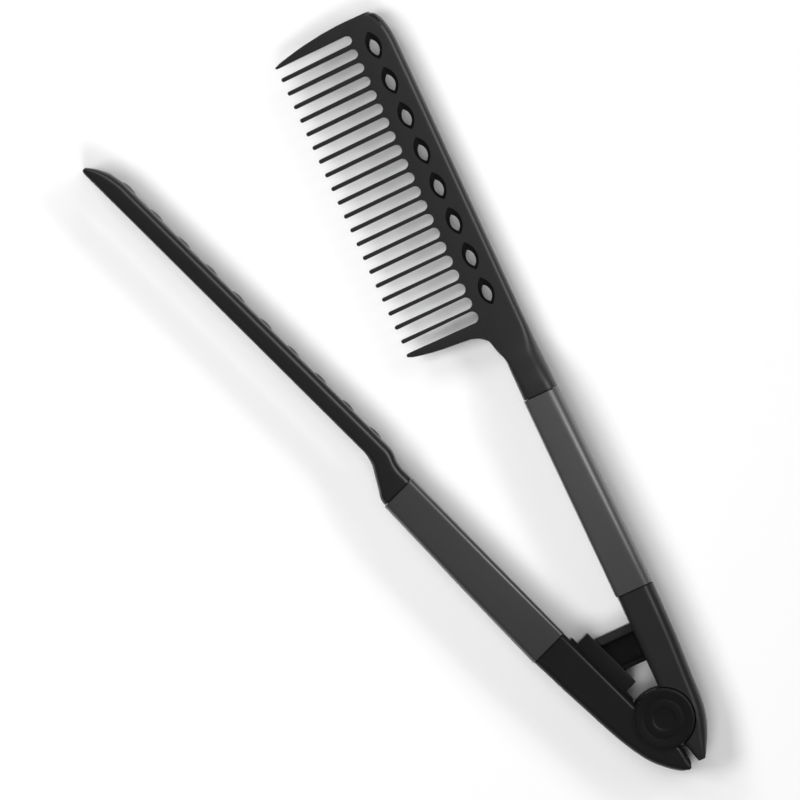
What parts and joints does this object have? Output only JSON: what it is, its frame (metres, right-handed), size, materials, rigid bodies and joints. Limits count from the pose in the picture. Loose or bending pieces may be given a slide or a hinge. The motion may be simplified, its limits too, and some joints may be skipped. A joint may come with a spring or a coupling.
{
  "type": "v-shaped hair comb",
  "caption": "V-shaped hinged hair comb: a toothed comb arm closes into a slotted jaw arm, with grey grips and a round hinge cap.",
  "frame": {"origin": "on the hinge axis, on the underside that the comb lies on", "axes": "+Z is the hinge axis and points up, +Y is the bisector of the V and points to its open end, +X points to the comb arm's side"},
  "size_m": [0.1003, 0.2512, 0.0212],
  "materials": {
    "black_plastic": "black moulded plastic, satin, with softly rounded edges",
    "grey_plastic": "dark grey moulded grip sleeve, satin",
    "hub_plastic": "darkest black turned cap with faint rings, matte"
  },
  "bodies": {
    "jaw_arm": {"jaw_frame": "black_plastic", "jaw_grip": "grey_plastic", "jaw_knuckle": "black_plastic", "post_guide": "black_plastic", "hinge_pin": "hub_plastic", "pin_cap": "black_plastic"},
    "comb_arm": {"comb_head": "black_plastic", "comb_grip": "grey_plastic", "comb_knuckle": "black_plastic"}
  },
  "joints": [
    {"name": "arm_hinge", "type": "hinge", "parent": "jaw_arm", "child": "comb_arm", "pos_m": [0, 0, 0], "axis": [0, 0, 1], "range_deg": [-4, 20], "stiffness_Nm_per_rad": 0.8}
  ]
}
